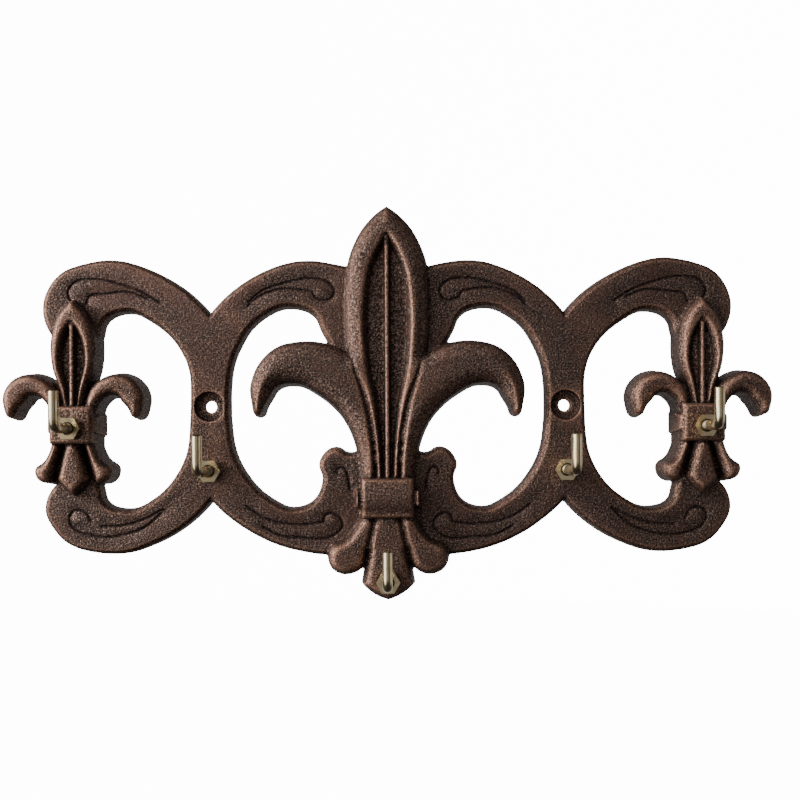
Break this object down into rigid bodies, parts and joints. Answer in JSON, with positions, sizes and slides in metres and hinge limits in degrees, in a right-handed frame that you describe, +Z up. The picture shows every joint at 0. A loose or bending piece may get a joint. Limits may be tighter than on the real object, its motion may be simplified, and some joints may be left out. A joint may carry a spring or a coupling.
{
  "type": "wall key holder",
  "caption": "Cast wall plate of open scrolls and fleurs-de-lis with screwed-in rod hooks for keys, held by screws through its pillars.",
  "frame": {"origin": "midway between the two wall screws, on the flat back", "axes": "+X to the right seen from in front, +Z up the wall, -Y out from the wall"},
  "size_m": [0.3226, 0.0371, 0.1664],
  "materials": {
    "antique_copper": "dark brown rubbed back to copper",
    "plated_brass": "bright plate"
  },
  "bodies": {
    "root": {"cast_plate": "antique_copper", "hook_left_end": "plated_brass", "nut_left_end": "plated_brass", "hook_left": "plated_brass", "nut_left": "plated_brass", "hook_centre": "plated_brass", "nut_centre": "plated_brass", "hook_right": "plated_brass", "nut_right": "plated_brass", "hook_right_end": "plated_brass", "nut_right_end": "plated_brass"}
  },
  "joints": []
}
